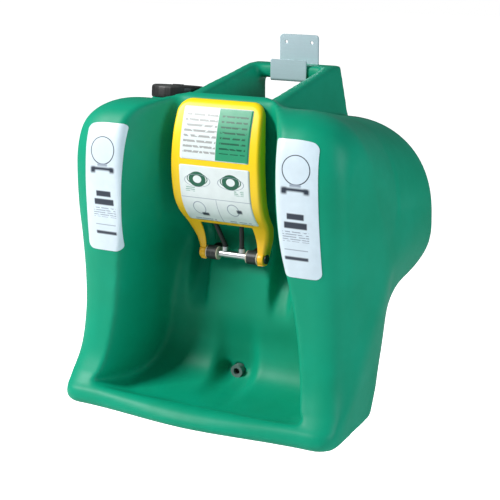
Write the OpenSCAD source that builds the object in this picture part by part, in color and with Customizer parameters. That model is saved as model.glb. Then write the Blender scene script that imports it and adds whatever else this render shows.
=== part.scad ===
// Gravity-fed eyewash station: a hollow moulded tank that hangs from a steel wall bracket, with a
// pull-down arm that swings out over the bowl. Millimetres, +X right, -Y out of the wall, +Z up.
// The origin is the middle of the two wall screws, on the wall.

/* [Tank] */
// Width over the rear bulge
tank_w = 676; // [610:1:820]
// Width of the front face
face_w = 630; // [600:1:780]
// Depth from the wall to the front of the lip
tank_d = 525; // [460:1:640]
// Height of the tank's shoulders above the foot
tank_h = 650; // [560:1:780]
// Thickness of the moulded wall
wall = 6; // [4:0.5:8]
// Width of the channel behind the arm
channel_w = 216; // [200:1:270]
// Width of the bowl's floor
bowl_w = 420; // [340:1:470]

/* [Carrying bar] */
// Height of the bar's section
bar_h = 32; // [24:1:40]
// Front to back size of the bar's section
bar_d = 48; // [36:1:60]
// Width over the two ends of the bar
bar_w = 212; // [190:1:260]
// Thickness of each leg of the bar
leg_t = 27; // [20:1:36]

/* [Wall bracket] */
// Width of the wall plate
plate_w = 96; // [80:1:140]
// Width of the hook's front lip
hook_w = 88; // [60:1:120]
// Thickness of the steel
steel_t = 3; // [2:0.5:4]
// Distance between the two wall screws
bolt_gap = 63; // [45:1:75]
// Diameter of the two screw holes
bolt_d = 7; // [5:0.5:9]
// Gap between the bar and the steel around it
hook_gap = 1; // [0.5:0.25:2]

/* [Filler] */
// Outside diameter of the cap
cap_d = 115; // [100:1:130]
// Height of the cap
cap_h = 27; // [22:1:34]
// Bore of the filler neck
neck_bore = 88; // [70:1:92]
// Backward lean of the filler neck, in degrees
neck_lean = 7; // [4:1:10]

/* [Arm] */
// Width of the arm at its widest
arm_w = 210; // [180:1:212]
// Depth of the arm's rim
arm_rim = 26; // [18:1:30]
// Thickness of the arm's skin
arm_skin = 3; // [2.5:0.5:4]
// Outside diameter of the hinge tube
tube_d = 16; // [14:1:18]
// Wall of the hinge tube
tube_wall = 1.5; // [1:0.25:2]
// Radial play of the hinge tube in its bushes
play = 0.05; // [0.02:0.01:0.1]
// Outside diameter of a spray head
head_d = 30; // [26:1:36]
// Distance between the two spray heads
head_gap = 84; // [70:1:100]

/* [Drain] */
// Outside diameter of the drain insert
drain_d = 28; // [24:1:32]
// Bore of the drain insert
drain_bore = 15; // [12:1:17]

/* [Hidden] */

// How many sides a round shape has, and how many strips the tank's surface has across and down
$fn = 64;
skin_across = 32;
skin_down = 30;

// The outlines below are drawn at a standard depth and height, then stretched to the sizes above
std_d = 525;
std_h = 650;
std_w = 676;
foot_w = tank_w * 642 / std_w;
pedestal_w = tank_w * 624 / std_w;
ky = tank_d / std_d;
kz = tank_h / std_h;
function deep(y) = -y * ky;
function high(z) = z * kz;

// Heights and places that several parts share
bar_top = high(694.5);
bar_bottom = bar_top - bar_h;
bolt_z = bar_top + 45.5;
pivot = [0, deep(305), high(320)];
swivel_x = 48;
socket_len = 22;
socket_d = 30;
bush_wall = 2.5;
bush_flange = 2.5;
leg_boss_w = 14;
leg_boss_d = 28;
leg_x = swivel_x + socket_len / 2 + bush_flange + 1 + leg_boss_w / 2;
tube_len = 2 * (leg_x + leg_boss_w / 2 + 1);
insert_d = 26;
insert_bore = 18;
seat_y = pivot[1] + 26;
neck_at = [-180, deep(230), high(620)];
neck_od = cap_d - 11;
neck_h = 32;
drain_z = high(56);
drain_y = deep(279);

// Everything is drawn from the foot up, then hung so that the wall screws are at the origin
module hung() {
    translate([0, 0, -bolt_z]) children();
}

// ---------- the tank's surface ----------
function smooth(f) = let (g = min(1, max(0, f))) g * g * (3 - 2 * g);
function blend(a, b, f) = a + (b - a) * f;

// A smooth curve through the points p, at u from 0 to 1
function along(p, u) =
    let (n = len(p) - 1,
         x = min(max(u, 0), 0.99999) * n,
         i = floor(x),
         f = x - i,
         a = p[max(i - 1, 0)],
         b = p[i],
         c = p[i + 1],
         d = p[min(i + 2, n)])
    0.5 * (2 * b + (c - a) * f + (2 * a - 5 * b + 4 * c - d) * f * f
        + (3 * b - a - 3 * c + d) * f * f * f);

// Outlines, [depth, height], from the crown down the front to the foot: down the channel and bowl
// in the middle, down the crest of a cheek, and down the edge of the flat side wall
channel_line = [
    [200, 617], [286, 640], [326, 662], [344, 640], [334, 585], [332, 510], [306, 415],
    [262, 345], [281, 275], [289, 195], [277, 114], [286, 50], [344, 29], [438, 26],
    [481, 41], [510, 36], [524, 12], [508, 0]];
cheek_line = [
    [200, 617], [300, 638], [372, 648], [428, 628], [454, 575], [460, 500], [455, 415],
    [447, 345], [439, 275], [437, 195], [450, 115], [470, 68], [478, 56], [484, 48],
    [489, 42], [498, 33], [502, 12], [490, 0]];
side_line = [
    [200, 430], [300, 500], [345, 545], [382, 548], [400, 515], [403, 470], [400, 405],
    [392, 345], [386, 275], [388, 195], [408, 115], [432, 74], [440, 60], [446, 50],
    [452, 42], [458, 32], [460, 20], [450, 10]];
// Outlines from the crown down the back to the foot, in the middle and at the side wall
back_line = [
    [200, 617], [110, 602], [35, 588], [8, 560], [2, 500], [2, 430], [2, 360], [6, 305],
    [30, 274], [90, 256], [142, 243], [172, 220], [192, 178], [212, 125], [236, 65],
    [258, 18], [268, 4], [282, 0]];
back_side_line = [
    [200, 430], [120, 420], [60, 405], [40, 390], [34, 375], [32, 360], [32, 345], [36, 325],
    [62, 300], [105, 282], [150, 270], [205, 232], [222, 185], [236, 128], [260, 68],
    [281, 26], [290, 14], [300, 10]];
last = len(channel_line) - 1;

// Half widths at station t of an outline, counted from the crown (0) to the foot
function channel_half(t) = lookup(t, [[0, 60], [2, 90], [3, channel_w / 2], [6, channel_w / 2],
    [12, bowl_w / 2], [13, bowl_w / 2], [14, 0], [last, 0]]);
function cheek_half(t) = lookup(t, [[0, 140], [2, 150], [3, channel_w / 2 + 80],
    [6, channel_w / 2 + 80], [10, bowl_w / 2 + 25], [13, bowl_w / 2 + 50], [last, 265]]);
function front_half(t) = lookup(t, [[0, (tank_w + face_w) / 4], [3, face_w / 2],
    [9, face_w / 2], [12, foot_w / 2], [last, foot_w / 2]]);
function front_round(t) = lookup(t, [[0, 150], [2, 130], [3, 105], [6, 92], [10, 58],
    [last, 46]]);
function back_half(t) = lookup(t, [[0, (tank_w + face_w) / 4], [2, tank_w / 2],
    [6, tank_w / 2], [11, pedestal_w / 2], [last, pedestal_w / 2]]);
function back_round(t) = lookup(t, [[0, 150], [2, 200], [3, 200], [6, 120], [8, 90],
    [12, 45], [last, 40]]);
squareness = 2.2;

// One outline point in the plane x = const, by side (front or back) and fraction u down it
function front_yz(x, u) =
    let (t = u * last,
         w = smooth((abs(x) - channel_half(t)) / (cheek_half(t) - channel_half(t))))
    blend(along(channel_line, u), along(cheek_line, u), w);

// Surface point: s runs from -1 to 1 across the width, t from -1 (foot, behind) over the crown
// at 0 to 1 (foot, in front). The last third of s is the rounding into the side wall.
round_from = 0.66;
function skin(s, t) =
    let (u = min(1, abs(t)),
         st = u * last,
         half = t >= 0 ? front_half(st) : back_half(st),
         rnd = t >= 0 ? front_round(st) : back_round(st),
         q = min(1, abs(s)),
         turn = q <= round_from ? 0 : 90 * (q - round_from) / (1 - round_from),
         x = (half - rnd) * min(1, q / round_from) + rnd * pow(sin(turn), 2 / squareness),
         middle = t >= 0 ? front_yz(x, u) : along(back_line, u),
         edge = t >= 0 ? along(side_line, u) : along(back_side_line, u),
         yz = blend(middle, edge, 1 - pow(max(0, cos(turn)), 2 / squareness)))
    [sign(s) * x, deep(yz[0]), high(yz[1])];

// The same surface, moved inwards by d along its own normal
nudge = 0.03;
function skin_in(s, t, d) =
    let (p = skin(s, t))
    d == 0 ? p :
    let (s1 = max(-1, s - nudge), s2 = min(1, s + nudge),
         t1 = max(-1, t - nudge), t2 = min(1, t + nudge),
         n = cross(skin(s2, t) - skin(s1, t), skin(s, t2) - skin(s, t1)))
    p + n / norm(n) * d;

// A closed solid of that surface: rings run round the section, from one side wall to the other,
// and each side wall is a fan about a point in its middle
module skin_solid(across, down, d) {
    ring = 2 * down + 1;
    function ring_t(j) = j <= down ? j / down : -(ring - j) / down;
    hub = (across + 1) * ring;
    points = concat(
        [for (k = [0:across]) for (j = [0:ring - 1])
            skin_in(-1 + 2 * k / across, ring_t(j), d)],
        [for (i = [-1, 1]) [i * (tank_w / 2 - d), deep(250), high(330)]]);
    function at(k, j) = k * ring + j % ring;
    polyhedron(points, [
        // the two halves are split into triangles as mirror images
        for (k = [0:across - 1]) for (j = [0:ring - 1])
            let (a = at(k, j), b = at(k + 1, j), c = at(k + 1, j + 1), e = at(k, j + 1))
            each k < across / 2 ? [[a, c, e], [a, b, c]] : [[a, b, e], [b, c, e]],
        for (j = [0:ring - 1]) each [
            [at(0, j), at(0, j + 1), hub],
            [at(across, j + 1), at(across, j), hub + 1]]]);
}

// ---------- small shapes ----------
// A cylinder along an axis: "x", "y" or "z", centred on its length
module rod(d, l, axis = "z") {
    rotate(axis == "x" ? [0, 90, 0] : axis == "y" ? [90, 0, 0] : [0, 0, 0])
        cylinder(d = d, h = l, center = true);
}
module tube(d, bore, l, axis = "z") {
    difference() {
        rod(d, l, axis);
        rod(bore, l + 2, axis);
    }
}
// A flat plate in the X-Z plane with round corners, its back face at y = 0
module plate(w, h, t, r) {
    rotate([90, 0, 0]) linear_extrude(t) rounded(w, h, r);
}
module rounded(w, h, r) {
    square([w - 2 * r, h], center = true);
    square([w, h - 2 * r], center = true);
    for (i = [-1, 1])
        for (j = [-1, 1])
            translate([i * (w / 2 - r), j * (h / 2 - r)]) circle(r);
}

// ---------- wall bracket ----------
hook_top = bar_bottom - hook_gap;
hook_out = bar_d + steel_t + 2 * hook_gap + steel_t;
lip_top = bar_top + 11.5;
plate_top = bolt_z + 17;
module wall_bracket() color("lightsteelblue") hung() {
    plate_h = plate_top - hook_top + steel_t;
    difference() {
        translate([0, 0, plate_top - plate_h / 2]) plate(plate_w, plate_h, steel_t, 8);
        for (i = [-1, 1])
            translate([i * bolt_gap / 2, -steel_t / 2, bolt_z]) rod(bolt_d, steel_t + 2, "y");
    }
    translate([-hook_w / 2, -hook_out, hook_top - steel_t])
        cube([hook_w, hook_out - steel_t, steel_t]);
    translate([0, -hook_out + steel_t, (lip_top + hook_top - steel_t) / 2])
        plate(hook_w, lip_top - hook_top + steel_t, steel_t, 3);
}

// ---------- tank ----------
bar_back = -steel_t - hook_gap;
arch_foot = high(560);
fin_front = deep(318);
fin_crest = high(652);
module arch() {
    // two legs, wider at the foot, whose crests slope forward to the ridge above the arm
    for (i = [-1, 1])
        intersection() {
            rotate([90, 0, 90])
                translate([0, 0, i > 0 ? bar_w / 2 - leg_t : -bar_w / 2 - leg_t])
                linear_extrude(2 * leg_t)
                polygon([[bar_back, bar_top], [bar_back - bar_d, bar_top], [fin_front, fin_crest],
                    [fin_front, arch_foot], [bar_back, arch_foot]]);
            rotate([90, 0, 0]) linear_extrude(tank_d)
                polygon([[i * (bar_w / 2 - leg_t), bar_top + 1], [i * bar_w / 2, bar_top + 1],
                    [i * (bar_w / 2 + leg_t - 2), arch_foot - 1],
                    [i * (bar_w / 2 - leg_t), arch_foot - 1]]);
        }
    translate([-bar_w / 2 + 1, bar_back - bar_d, bar_bottom]) cube([bar_w - 2, bar_d, bar_h]);
}
module at_neck() {
    translate(neck_at) rotate([-neck_lean, 0, 0]) children();
}
// The hollow moulding as one smooth shell, before its round holes are cut
module moulding() {
    resize([0, 0, 0]) difference() {
        union() {
            skin_solid(skin_across, skin_down, 0);
            arch();
            at_neck() {
                translate([0, 0, -24]) cylinder(d1 = neck_od + 40, d2 = neck_od - 4, h = 36);
                translate([0, 0, -6]) cylinder(d = neck_od, h = neck_h + 6);
            }
            for (i = [-1, 1])
                translate([i * swivel_x, seat_y + 16, pivot[2]]) rod(40, 32, "y");
        }
        skin_solid(skin_across, skin_down, wall);
        at_neck() translate([0, 0, -40]) cylinder(d = neck_bore - 6, h = neck_h + 50, $fn = 24);
    }
}
module tank_shell() color("mediumseagreen") hung() {
    difference() {
        moulding();
        at_neck() translate([0, 0, -40]) cylinder(d = neck_bore, h = neck_h + 50);
        for (i = [-1, 1])
            translate([i * swivel_x, seat_y + 16, pivot[2]]) rod(insert_d, 40, "y");
        translate([0, drain_y, drain_z]) rod(drain_d, 40, "y");
    }
}

// ---------- labels on the cheeks ----------
label_in = 182;
label_out = 263;
label_top_u = 3.55 / last;
label_low_u = 7.15 / last;
label_lift = 1.6;
label_t = 0.5;
// A patch of the front surface between two widths and two fractions of the outline, lifted off it
function patch_point(x, u, lift) =
    let (e = 0.002,
         p = front_point(x, u),
         n = cross(front_point(x + 1, u) - front_point(x - 1, u),
                   front_point(x, u + e) - front_point(x, u - e)))
    p - n / norm(n) * lift;
function front_point(x, u) =
    let (half = front_half(u * last),
         rnd = front_round(u * last),
         q = min(1, max(0, (abs(x) - half + rnd) / rnd)),
         middle = front_yz(x, u),
         yz = blend(middle, along(side_line, u), 1 - pow(1 - pow(q, squareness), 1 / squareness)))
    [x, deep(yz[0]), high(yz[1])];
module side_label(side) {
    nx = 6;
    nu = 10;
    points = [for (layer = [0, 1]) for (i = [0:nu]) for (k = [0:nx])
        let (u = blend(label_top_u, label_low_u, i / nu),
             shrink = 9 * i / nu,
             x = side * blend(label_in + 1.6 * shrink, label_out + shrink, k / nx))
        patch_point(x, u, (label_lift + layer * label_t))];
    function at(l, i, k) = l * (nu + 1) * (nx + 1) + i * (nx + 1) + k;
    function tri(a, b, c) = side > 0 ? [a, b, c] : [a, c, b];
    faces = [
        for (i = [0:nu - 1]) for (k = [0:nx - 1]) each [
            tri(at(1, i, k), at(1, i, k + 1), at(1, i + 1, k + 1)),
            tri(at(1, i, k), at(1, i + 1, k + 1), at(1, i + 1, k)),
            tri(at(0, i, k), at(0, i + 1, k + 1), at(0, i, k + 1)),
            tri(at(0, i, k), at(0, i + 1, k), at(0, i + 1, k + 1))],
        for (k = [0:nx - 1]) each [
            tri(at(1, 0, k), at(0, 0, k + 1), at(1, 0, k + 1)),
            tri(at(1, 0, k), at(0, 0, k), at(0, 0, k + 1)),
            tri(at(1, nu, k), at(1, nu, k + 1), at(0, nu, k + 1)),
            tri(at(1, nu, k), at(0, nu, k + 1), at(0, nu, k))],
        for (i = [0:nu - 1]) each [
            tri(at(1, i, 0), at(1, i + 1, 0), at(0, i + 1, 0)),
            tri(at(1, i, 0), at(0, i + 1, 0), at(0, i, 0)),
            tri(at(1, i, nx), at(0, i + 1, nx), at(1, i + 1, nx)),
            tri(at(1, i, nx), at(0, i, nx), at(0, i + 1, nx))]];
    polyhedron(points, faces);
}
module side_label_left() color("ghostwhite") hung() side_label(-1);
module side_label_right() color("ghostwhite") hung() side_label(1);

// ---------- filler cap ----------
cap_top_t = 4;
cap_edge = 3;
gasket_t = 3;
vent_d = 16;
rib_d = 5;
cap_roof = neck_h + gasket_t;
cap_foot = cap_roof + cap_top_t - cap_h;
module fill_cap() color([0.09, 0.09, 0.1]) hung() at_neck() {
    difference() {
        union() {
            // the skirt, with grip ribs round it
            translate([0, 0, cap_foot]) linear_extrude(cap_h - cap_edge) {
                circle(d = cap_d - 3);
                for (a = [0:15:345])
                    rotate(a) translate([(cap_d - rib_d) / 2, 0]) circle(d = rib_d, $fn = 16);
            }
            translate([0, 0, cap_foot + cap_h - cap_edge])
                cylinder(d1 = cap_d - 3, d2 = cap_d - 9, h = cap_edge);
        }
        translate([0, 0, cap_foot - 1]) cylinder(d = neck_od + 1, h = cap_roof - cap_foot + 1);
        translate([0, 0, cap_roof - 1]) cylinder(d = vent_d, h = cap_top_t + 2);
    }
}
module cap_gasket() color([0.2, 0.2, 0.2]) hung() at_neck()
    translate([0, 0, neck_h + gasket_t / 2]) tube(neck_od - 1, neck_bore, gasket_t);
module cap_vent() color([0.16, 0.16, 0.17]) hung() at_neck() {
    difference() {
        union() {
            translate([0, 0, cap_roof]) cylinder(d = vent_d, h = cap_top_t);
            translate([0, 0, cap_roof + cap_top_t]) cylinder(d = vent_d + 8, h = 2);
            translate([0, 0, cap_roof - 3]) cylinder(d = vent_d + 5, h = 3);
        }
        for (a = [0:60:300])
            rotate(a) translate([vent_d / 4, 0, cap_roof - 4]) cylinder(d = 2, h = 6, $fn = 16);
    }
}

// ---------- activation arm ----------
// Side view of the arm's front face, [depth, height], from the top edge down to the hinge
arm_line = [[354, 651], [363, 634], [377, 592], [385, 545], [385, 500], [378, 453],
    [362, 420], [334, 388], [316, 352], [314, 306]];
arm_n = 24;
function arm_face(u, d) =
    let (p = along(arm_line, u),
         q = along(arm_line, min(1, u + 0.01)) - along(arm_line, max(0, u - 0.01)),
         n = [-q[1], q[0]] / norm(q))
    [deep(p[0]) + n[0] * d, high(p[1]) - n[1] * d];
arm_top_w = 176;
arm_low_w = 2 * leg_x + leg_boss_w;
// The rim is shallower at the two ends, where the tank and the hinge need the room
function rim_at(u) = lookup(u, [[0, arm_rim - 16], [0.12, arm_rim - 9], [0.25, arm_rim],
    [0.8, arm_rim], [1, arm_rim - 8]]);
// The band between two depths behind the front face, carried across a width
module arm_band(from_d, w, u1 = 0, u2 = 1, to_d = 0, extra = 0) {
    translate([-w / 2, 0, 0]) rotate([90, 0, 90]) linear_extrude(w) polygon(concat(
        [for (i = [0:arm_n]) arm_face(blend(u1, u2, i / arm_n), from_d)],
        [for (i = [arm_n:-1:0]) let (u = blend(u1, u2, i / arm_n))
            arm_face(u, to_d == 0 ? rim_at(u) + extra : to_d)]));
}
// Front view of the arm, drawn d inside its edge
module arm_front(d) {
    rotate([90, 0, 0]) linear_extrude(tank_d) polygon(concat(
        [for (i = [0:12]) arm_edge(i / 12, 1, d)],
        [for (i = [12:-1:0]) arm_edge(i / 12, -1, d)]));
}
function arm_edge(f, side, d) =
    let (z = blend(high(653) - d, high(300), f),
         w = lookup(z, [[high(300), arm_low_w / 2], [high(345), arm_low_w / 2 + 1],
            [high(420), arm_w / 2 - 3], [high(500), arm_w / 2], [high(600), arm_w / 2 - 3],
            [high(640), arm_top_w / 2 + 4], [high(653), arm_top_w / 2 - 8]]))
    [side * (w - d), z];
window_w = 124;
// The strap that carries the spray heads is screwed to a boss behind the arm's front face
head_at = [head_gap / 2, deep(346), high(452)];
head_len = 24;
strap_t = 3;
strap_h = 18;
strap_y = head_at[1] - head_len / 2 - strap_t / 2;
strap_front = strap_y - strap_t / 2;
strap_boss_to = deep(374);
module activation_arm() color("gold") hung() {
    difference() {
        union() {
            difference() {
                intersection() {
                    arm_band(0, arm_w + 4);
                    arm_front(0);
                }
                intersection() {
                    arm_band(arm_skin, arm_w, extra = 10);
                    arm_front(arm_skin);
                }
            }
            for (i = [-1, 1])
                translate([i * leg_x, pivot[1], pivot[2]]) {
                    rod(leg_boss_d, leg_boss_w, "x");
                    translate([-leg_boss_w / 2, -9, 0]) cube([leg_boss_w, 16, 34]);
                }
            translate([0, (strap_front + strap_boss_to) / 2, head_at[2]])
                rod(12, strap_front - strap_boss_to, "y");
        }
        translate([0, strap_front - 4, head_at[2]]) rod(4, 10, "y");
        for (i = [-1, 1])
            translate([i * leg_x, pivot[1], pivot[2]]) {
                rod(tube_d, leg_boss_w + 4, "x");
                translate([0, 0, -leg_boss_d / 2]) rod(4, leg_boss_d, "z");
            }
        // the window under the labels, and the open foot between the two legs
        translate([-window_w / 2, -tank_d, high(300) - 20])
            cube([window_w, tank_d, high(392) - high(300) + 20]);
    }
}
label_gap = 0.3;
module arm_label(u1, u2, w) {
    intersection() {
        arm_band(-label_gap - 0.5, w, u1, u2, to_d = -label_gap);
        arm_front(10);
    }
}
module arm_label_upper() color("honeydew") hung() arm_label(0.09, 0.36, 160);
module arm_label_lower() color("ghostwhite") hung() arm_label(0.39, 0.74, 164);
module arm_screws() color("silver") hung()
    for (i = [-1, 1])
        translate([i * leg_x, pivot[1], pivot[2] - leg_boss_d / 2]) {
            translate([0, 0, -0.5]) cylinder(d = 3.8, h = (leg_boss_d - tube_d) / 2 + 0.5);
            difference() {
                translate([0, 0, -2.05]) cylinder(d = 7, h = 2);
                translate([-0.6, -5, -2.5]) cube([1.2, 10, 1.3]);
            }
        }

// ---------- hinge tube and water path ----------
port_d = 8;
riser_d = 10;
riser_from_x = 20;
riser_from = [riser_from_x, pivot[1], pivot[2]];
module hinge_manifold() color("silver") hung() translate(pivot) {
    difference() {
        rod(tube_d, tube_len, "x");
        rod(tube_d - 2 * tube_wall, tube_len + 2, "x");
        for (i = [-1, 1]) {
            // inlet ports face down while the arm is up, and face the tank once it is down
            translate([i * swivel_x, 0, -tube_d / 2]) rod(port_d, tube_d, "z");
            translate([i * riser_from_x, 0, tube_d / 2]) rod(riser_d - 2, tube_d, "z");
        }
    }
    for (i = [-1, 1])
        translate([i * riser_from_x, 0, tube_d / 2 - 0.6])
            difference() {
                cylinder(d = riser_d + 5, h = 9);
                translate([0, 0, -1]) cylinder(d = riser_d, h = 11);
            }
}
module manifold_plugs() color([0.15, 0.15, 0.16]) hung() translate(pivot)
    for (i = [-1, 1])
        translate([i * tube_len / 2, 0, 0]) {
            translate([-i * 5, 0, 0]) rod(tube_d - 2 * tube_wall, 10, "x");
            translate([i * 1.25, 0, 0]) rod(tube_d + 4, 2.5, "x");
        }
module swivel_bush(side) hung() translate([side * swivel_x, pivot[1], pivot[2]]) {
    difference() {
        union() {
            rod(tube_d + 2 * bush_wall, socket_len, "x");
            for (i = [-1, 1])
                translate([i * (socket_len / 2 + bush_flange / 2), 0, 0])
                    rod(socket_d - 2, bush_flange, "x");
        }
        rod(tube_d + 2 * play, socket_len + 4 * bush_flange, "x");
        translate([0, 8, 0]) rod(port_d, 20, "y");
    }
}
module swivel_bush_left() color("antiquewhite") swivel_bush(-1);
module swivel_bush_right() color("antiquewhite") swivel_bush(1);
elbow_flange_d = 32;
spigot_d = 17.6;
module outlet_elbow(side) hung() translate([side * swivel_x, 0, pivot[2]]) {
    difference() {
        union() {
            translate([0, pivot[1], 0]) rod(socket_d, socket_len, "x");
            translate([0, (pivot[1] + seat_y) / 2, 0]) rod(20, seat_y - pivot[1], "y");
            translate([0, seat_y - 2, 0]) rod(elbow_flange_d, 4, "y");
            translate([0, seat_y + 8, 0]) rod(spigot_d, 20, "y");
            translate([0, seat_y + 19, 0]) rod(spigot_d - 3, 2, "y");
        }
        translate([0, pivot[1], 0]) rod(tube_d + 2 * bush_wall, socket_len + 2, "x");
        translate([0, pivot[1] + 24, 0]) rod(port_d + 2, 60, "y");
    }
}
module outlet_elbow_left() color([0.12, 0.13, 0.13]) outlet_elbow(-1);
module outlet_elbow_right() color([0.12, 0.13, 0.13]) outlet_elbow(1);
module outlet_insert(side) hung() translate([side * swivel_x, seat_y, pivot[2]])
    translate([0, 9, 0]) tube(insert_d, insert_bore, 18, "y");
module outlet_insert_left() color("peru") outlet_insert(-1);
module outlet_insert_right() color("peru") outlet_insert(1);
module elbow_seals() color([0.1, 0.1, 0.1]) hung()
    for (i = [-1, 1])
        translate([i * swivel_x, seat_y + 19, pivot[2]])
            tube(insert_bore - 0.2, spigot_d - 3, 2, "y");

// A riser tube stands on the hinge tube, bends, and runs straight to its spray head
riser_knee = 11;
riser_v = head_at - [0, 0, head_d / 2 - 2] - riser_from - [0, 0, tube_d / 2 + 1 + riser_knee];
// Turn +Z to point along v
module aim(v) {
    rotate([0, acos(v[2] / norm(v)), atan2(v[1], v[0])]) children();
}
function sided(v, side) = [side * v[0], v[1], v[2]];
module riser_tube(side) hung()
    translate(sided(riser_from, side) + [0, 0, tube_d / 2 + 1]) difference() {
        union() {
            cylinder(d = riser_d, h = riser_knee);
            translate([0, 0, riser_knee]) {
                sphere(d = riser_d);
                aim(sided(riser_v, side)) cylinder(d = riser_d, h = norm(riser_v));
            }
        }
        translate([0, 0, -1]) cylinder(d = riser_d - 3, h = riser_knee + 1);
        translate([0, 0, riser_knee]) {
            sphere(d = riser_d - 3);
            aim(sided(riser_v, side)) cylinder(d = riser_d - 3, h = norm(riser_v) + 5);
        }
    }
module riser_tube_left() color([0.1, 0.1, 0.1]) riser_tube(-1);
module riser_tube_right() color([0.1, 0.1, 0.1]) riser_tube(1);
module spray_head(side) hung() translate(sided(head_at, side)) {
    end = [0, 0, 2 - head_d / 2];
    difference() {
        union() {
            rod(head_d, head_len, "y");
            translate(end) aim(sided(riser_v, side)) translate([0, 0, -8])
                cylinder(d = riser_d + 5, h = 12);
        }
        translate([0, 4, 0]) rod(head_d - 5, head_len - 3, "y");
        translate(end) aim(sided(riser_v, side)) translate([0, 0, -9]) cylinder(d = riser_d, h = 9);
        translate(end) aim(sided(riser_v, side)) cylinder(d = riser_d - 3, h = 5);
    }
}
module spray_head_left() color("yellowgreen") spray_head(-1);
module spray_head_right() color("yellowgreen") spray_head(1);
module spray_screen(side) hung()
    translate([side * head_at[0], head_at[1] + head_len / 2 - 2, head_at[2]]) {
    difference() {
        rod(head_d - 5, 2, "y");
        for (r = [1, 2])
            for (a = [0:60 / r:359])
                rotate([0, a, 0]) translate([r * (head_d - 9) / 4.6, 0, 0]) rod(2, 6, "y");
        rod(2, 6, "y");
    }
}
module spray_screen_left() color("whitesmoke") spray_screen(-1);
module spray_screen_right() color("whitesmoke") spray_screen(1);

// A strap across the arm's inner side carries both spray heads
module head_bracket() color("silver") hung() difference() {
    translate([0, strap_y + strap_t / 2, head_at[2]]) plate(head_gap + 44, strap_h, strap_t, 6);
    translate([0, strap_y, head_at[2]]) rod(4.5, strap_t + 2, "y");
}
module head_screws() color("silver") hung()
    translate([0, strap_y + strap_t / 2, head_at[2]]) {
        translate([0, 1.2, 0]) rod(8, 2.4, "y");
        translate([0, -3, 0]) rod(4, 6, "y");
    }

// ---------- drain ----------
drain_len = 30;
plug_depth = 8;
plug_thread = 10;
module drain_insert() color("slategray") hung() translate([0, drain_y, drain_z])
    difference() {
        rod(drain_d, drain_len, "y");
        rod(drain_bore, drain_len + 2, "y");
    }
drain_face = drain_y - drain_len / 2;
module drain_plug() color([0.08, 0.1, 0.09]) hung() translate([0, drain_face, drain_z]) {
    difference() {
        translate([0, plug_depth + plug_thread / 2, 0]) rod(drain_bore - 0.4, plug_thread, "y");
        translate([0, plug_depth, 0]) rod(8, 9, "y");
    }
    translate([0, plug_depth + 1, 0])
        for (a = [0, 90])
            rotate([0, a, 0]) cube([8.4, 2, 1.6], center = true);
}
module drain_plug_ring() color([0.1, 0.1, 0.1]) hung()
    translate([0, drain_face + plug_depth + plug_thread + 1, drain_z])
        tube(drain_bore - 0.5, drain_bore - 6, 2, "y");

wall_bracket();
tank_shell();
side_label_left();
side_label_right();
fill_cap();
cap_gasket();
cap_vent();
activation_arm();
arm_label_upper();
arm_label_lower();
arm_screws();
hinge_manifold();
manifold_plugs();
swivel_bush_left();
swivel_bush_right();
outlet_elbow_left();
outlet_elbow_right();
outlet_insert_left();
outlet_insert_right();
elbow_seals();
riser_tube_left();
riser_tube_right();
spray_head_left();
spray_head_right();
spray_screen_left();
spray_screen_right();
head_bracket();
head_screws();
drain_insert();
drain_plug();
drain_plug_ring();
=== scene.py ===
# %% [markdown]
# # A gravity-fed eyewash station
# The real object is one hollow tank, moulded in tough green plastic, that hangs on a folded
# steel bracket. A yellow arm covers the spray heads and is also the valve: pulled down, it
# starts the water. The CAD model gives every size and every place. This lesson gives each
# piece the soft forms and the finish that the real one has.

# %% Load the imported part
import math

import bmesh
import bpy
import numpy as np
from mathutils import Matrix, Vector


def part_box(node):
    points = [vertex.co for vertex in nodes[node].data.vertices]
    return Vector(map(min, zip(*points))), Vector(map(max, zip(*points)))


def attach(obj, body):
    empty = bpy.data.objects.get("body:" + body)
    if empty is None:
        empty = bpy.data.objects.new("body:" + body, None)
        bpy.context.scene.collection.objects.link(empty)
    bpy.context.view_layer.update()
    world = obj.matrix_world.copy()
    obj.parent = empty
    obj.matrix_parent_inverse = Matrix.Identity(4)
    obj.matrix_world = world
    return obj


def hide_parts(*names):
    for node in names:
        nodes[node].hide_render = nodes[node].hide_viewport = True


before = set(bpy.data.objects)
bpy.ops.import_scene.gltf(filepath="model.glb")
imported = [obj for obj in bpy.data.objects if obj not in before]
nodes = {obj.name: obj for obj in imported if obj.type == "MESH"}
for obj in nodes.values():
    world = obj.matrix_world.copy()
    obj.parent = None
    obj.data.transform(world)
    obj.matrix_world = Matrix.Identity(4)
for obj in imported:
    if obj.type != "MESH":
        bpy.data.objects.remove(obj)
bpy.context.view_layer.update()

# %% [markdown]
# ## One way to write a place
# The shapes below are written in millimetres: X to the right, Y negative out of the wall, and
# Z above the tank's foot. The frame is in metres and has its origin between the wall screws,
# so one small function turns the first into the second.

# %% Millimetres above the foot to metres in the frame
MM = 0.001
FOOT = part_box("tank_shell")[0].z


def in_frame(points):
    """Each point times a thousandth, then raised by the height of the foot."""
    out = np.array(points, float) * MM
    out[..., 2] += FOOT
    return out


def from_foot(points):
    """The other way round: frame points in metres as millimetres above the foot."""
    out = np.array(points, float)
    out[..., 2] -= FOOT
    return out / MM


print("foot at", round(FOOT, 4), "m")

# %% [markdown]
# ## Camera, floor and light
# The camera stands a little to the right of the middle and looks slightly down. The lens is
# long, so the upright edges stay almost parallel. A wide soft light from the upper left shapes
# the bowl, a weaker one from the right lifts the far cheek, and the pale floor lies well
# below, because the tank hangs on a wall.

# %% Camera
scene = bpy.context.scene
scene.view_settings.view_transform = "Standard"


def placed(name, data):
    """A new object that shows data, linked into the scene."""
    made = bpy.data.objects.new(name, data)
    scene.collection.objects.link(made)
    return made


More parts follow.
